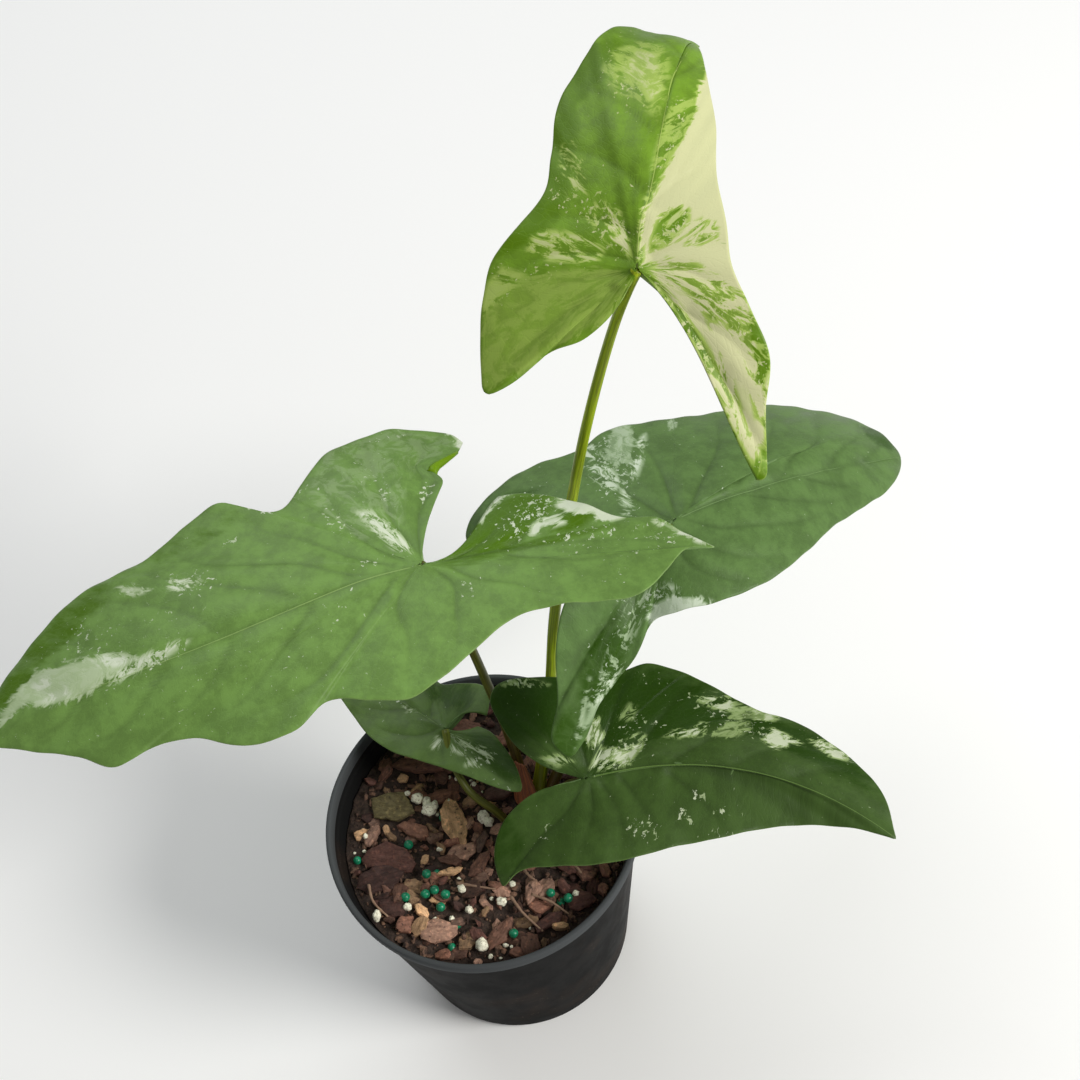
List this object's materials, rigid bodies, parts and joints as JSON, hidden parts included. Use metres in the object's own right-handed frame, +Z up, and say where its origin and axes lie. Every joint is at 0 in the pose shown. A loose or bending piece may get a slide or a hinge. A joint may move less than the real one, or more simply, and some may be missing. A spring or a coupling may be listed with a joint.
{
  "type": "potted syngonium",
  "caption": "House plant with variegated arrow-shaped leaves on long stalks, growing from bark mix in a round thin-walled nursery pot.",
  "frame": {"origin": "centre of the pot's flat underside", "axes": "+Z up along the pot's axis; the largest leaf points towards -X, and +Y is the side that the tallest leaf's tip arches over"},
  "size_m": [0.2643, 0.2081, 0.2892],
  "materials": {
    "pot_plastic": "dark grey moulded plastic, semi-matt, scuffed",
    "bark_mix": "rough bark chips and fines with perlite and feed prills",
    "sheath": "dry reddish leaf sheath",
    "petiole": "waxy olive leaf stalk, faintly streaked",
    "leaf_pale": "satin pale green leaf with cream variegation",
    "leaf_mid": "satin mid green leaf with cream flecks",
    "leaf_dark": "satin dark green leaf with cream flecks"
  },
  "bodies": {
    "root": {"pot": "pot_plastic", "potting_mix": "bark_mix", "stem": "sheath", "petiole_top": "petiole", "petiole_big_left": "petiole", "petiole_back_right": "petiole", "petiole_lower_right": "petiole", "petiole_small_low": "petiole", "blade_top": "leaf_pale", "blade_big_left": "leaf_mid", "blade_back_right": "leaf_dark", "blade_lower_right": "leaf_dark", "blade_small_low": "leaf_dark"}
  },
  "joints": []
}
